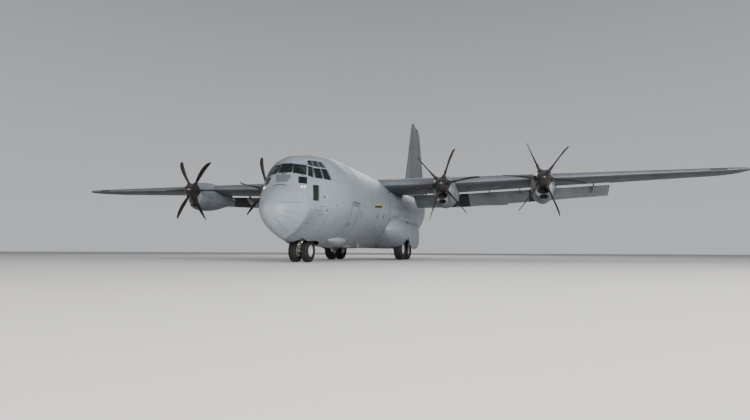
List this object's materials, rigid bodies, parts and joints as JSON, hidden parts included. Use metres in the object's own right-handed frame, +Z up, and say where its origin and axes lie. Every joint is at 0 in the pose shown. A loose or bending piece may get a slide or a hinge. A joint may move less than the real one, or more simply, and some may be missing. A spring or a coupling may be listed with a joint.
{
  "type": "transport plane",
  "caption": "Turboprop transport plane with a high wing, a hold with a rear ramp, side fairings over the main wheels and curved propeller blades.",
  "frame": {"origin": "on the ground, below the middle of the plane's bounding box", "axes": "+Z up, the nose points along -Y, the port wing points along +X"},
  "size_m": [20.2, 14.895, 5.92],
  "materials": {
    "grey": "matt light blue-grey paint",
    "glass": "clear, dark inside",
    "tyre": "black rubber",
    "blade": "matt black-brown composite",
    "steel": "satin",
    "white": "white paint",
    "deck": "matt dark grey",
    "engine": "dull metal"
  },
  "bodies": {
    "airframe": {"cockpit_lower": "grey", "cockpit_upper": "grey", "aft_fuselage": "grey", "nacelle_port_outer": "grey", "nacelle_starboard_outer": "grey", "nacelle_port_inner": "grey", "nacelle_starboard_inner": "grey", "main_legs_port": "steel", "main_legs_starboard": "steel", "hold_shell": "grey", "tailplane": "grey", "flight_deck": "deck", "fin": "grey", "sponson_port": "grey", "sponson_starboard": "grey", "radome": "grey", "tail_cone": "grey", "cockpit_glazing": "glass", "wing_port": "grey", "wing_starboard": "grey", "nose_leg_cylinder": "steel", "engine_port_outer": "engine", "engine_starboard_outer": "engine", "engine_port_inner": "engine", "engine_starboard_inner": "engine", "wing_centre": "grey", "flap_port": "grey", "flap_starboard": "grey", "main_gear_door_port": "grey", "main_gear_door_starboard": "grey", "jump_door_port": "grey", "jump_door_starboard": "grey", "hold_floor": "grey"},
    "propeller_port_outer": {"propeller_port_outer": "blade"},
    "propeller_port_inner": {"propeller_port_inner": "blade"},
    "propeller_starboard_inner": {"propeller_starboard_inner": "blade"},
    "propeller_starboard_outer": {"propeller_starboard_outer": "blade"},
    "main_wheel_port_front": {"main_tyre_port_front": "tyre", "main_rim_port_front": "white"},
    "main_wheel_port_rear": {"main_tyre_port_rear": "tyre", "main_rim_port_rear": "white"},
    "main_wheel_starboard_front": {"main_tyre_starboard_front": "tyre", "main_rim_starboard_front": "white"},
    "main_wheel_starboard_rear": {"main_tyre_starboard_rear": "tyre", "main_rim_starboard_rear": "white"},
    "nose_steering": {"nose_leg": "steel"},
    "nose_wheels": {"nose_hubs": "white", "nose_tyre_port": "tyre", "nose_tyre_starboard": "tyre"},
    "crew_door": {"crew_door": "grey"},
    "ramp": {"ramp": "grey"},
    "cargo_door": {"cargo_door": "grey"},
    "aileron_port": {"aileron_port": "grey"},
    "aileron_starboard": {"aileron_starboard": "grey"},
    "elevator_port": {"elevator_port": "grey"},
    "elevator_starboard": {"elevator_starboard": "grey"},
    "rudder": {"rudder": "grey"}
  },
  "joints": [
    {"name": "propeller_port_outer_spin", "type": "hinge", "parent": "airframe", "child": "propeller_port_outer", "pos_m": [5.15, -2.6975, 2.1], "axis": [0, -1, 0], "continuous": true},
    {"name": "propeller_port_inner_spin", "type": "hinge", "parent": "airframe", "child": "propeller_port_inner", "pos_m": [2.56, -2.6975, 2.035], "axis": [0, -1, 0], "continuous": true},
    {"name": "propeller_starboard_inner_spin", "type": "hinge", "parent": "airframe", "child": "propeller_starboard_inner", "pos_m": [-2.56, -2.6975, 2.035], "axis": [0, -1, 0], "continuous": true},
    {"name": "propeller_starboard_outer_spin", "type": "hinge", "parent": "airframe", "child": "propeller_starboard_outer", "pos_m": [-5.15, -2.6975, 2.1], "axis": [0, -1, 0], "continuous": true},
    {"name": "main_wheel_port_front_spin", "type": "hinge", "parent": "airframe", "child": "main_wheel_port_front", "pos_m": [1.085, -1.2475, 0.355], "axis": [1, 0, 0], "continuous": true},
    {"name": "main_wheel_port_rear_spin", "type": "hinge", "parent": "airframe", "child": "main_wheel_port_rear", "pos_m": [1.085, -0.4875, 0.355], "axis": [1, 0, 0], "continuous": true},
    {"name": "main_wheel_starboard_front_spin", "type": "hinge", "parent": "airframe", "child": "main_wheel_starboard_front", "pos_m": [-1.085, -1.2475, 0.355], "axis": [1, 0, 0], "continuous": true},
    {"name": "main_wheel_starboard_rear_spin", "type": "hinge", "parent": "airframe", "child": "main_wheel_starboard_rear", "pos_m": [-1.085, -0.4875, 0.355], "axis": [1, 0, 0], "continuous": true},
    {"name": "nose_steer", "type": "hinge", "parent": "airframe", "child": "nose_steering", "pos_m": [0, -5.9225, 0.6], "axis": [0, 0, 1], "range_deg": [-60, 60]},
    {"name": "nose_wheels_spin", "type": "hinge", "parent": "nose_steering", "child": "nose_wheels", "pos_m": [0, -5.9225, 0.245], "axis": [1, 0, 0], "continuous": true},
    {"name": "crew_door_open", "type": "hinge", "parent": "airframe", "child": "crew_door", "pos_m": [0.57152, -5.5275, 0.53], "axis": [0.0662, 0.9978, 0], "range_deg": [0, 85]},
    {"name": "ramp_open", "type": "hinge", "parent": "airframe", "child": "ramp", "pos_m": [0, 1.4085, 0.3525], "axis": [-1, 0, 0], "range_deg": [0, 35]},
    {"name": "cargo_door_open", "type": "hinge", "parent": "airframe", "child": "cargo_door", "pos_m": [0, 5.0525, 2.034], "axis": [-1, 0, 0], "range_deg": [0, 20]},
    {"name": "aileron_port_turn", "type": "hinge", "parent": "airframe", "child": "aileron_port", "pos_m": [7.125, -0.55823, 2.28649], "axis": [0.9965, -0.0822, 0.0181], "range_deg": [-15, 15]},
    {"name": "aileron_starboard_turn", "type": "hinge", "parent": "airframe", "child": "aileron_starboard", "pos_m": [-7.125, -0.55823, 2.28649], "axis": [0.9965, 0.0822, -0.0181], "range_deg": [-15, 15]},
    {"name": "elevator_port_turn", "type": "hinge", "parent": "airframe", "child": "elevator_port", "pos_m": [0.475, 6.36069, 2.31], "axis": [0.9997, 0.0257, 0], "range_deg": [-15, 30]},
    {"name": "elevator_starboard_turn", "type": "hinge", "parent": "airframe", "child": "elevator_starboard", "pos_m": [-0.475, 6.36069, 2.31], "axis": [0.9997, -0.0257, 0], "range_deg": [-15, 30]},
    {"name": "rudder_turn", "type": "hinge", "parent": "airframe", "child": "rudder", "pos_m": [0, 6.17606, 2.68], "axis": [0, 0.0326, 0.9995], "range_deg": [-15, 45]}
  ],
  "couplings": [
    {"joint": "aileron_starboard_turn", "follows": "aileron_port_turn", "ratio": -1},
    {"joint": "elevator_starboard_turn", "follows": "elevator_port_turn", "ratio": 1}
  ]
}
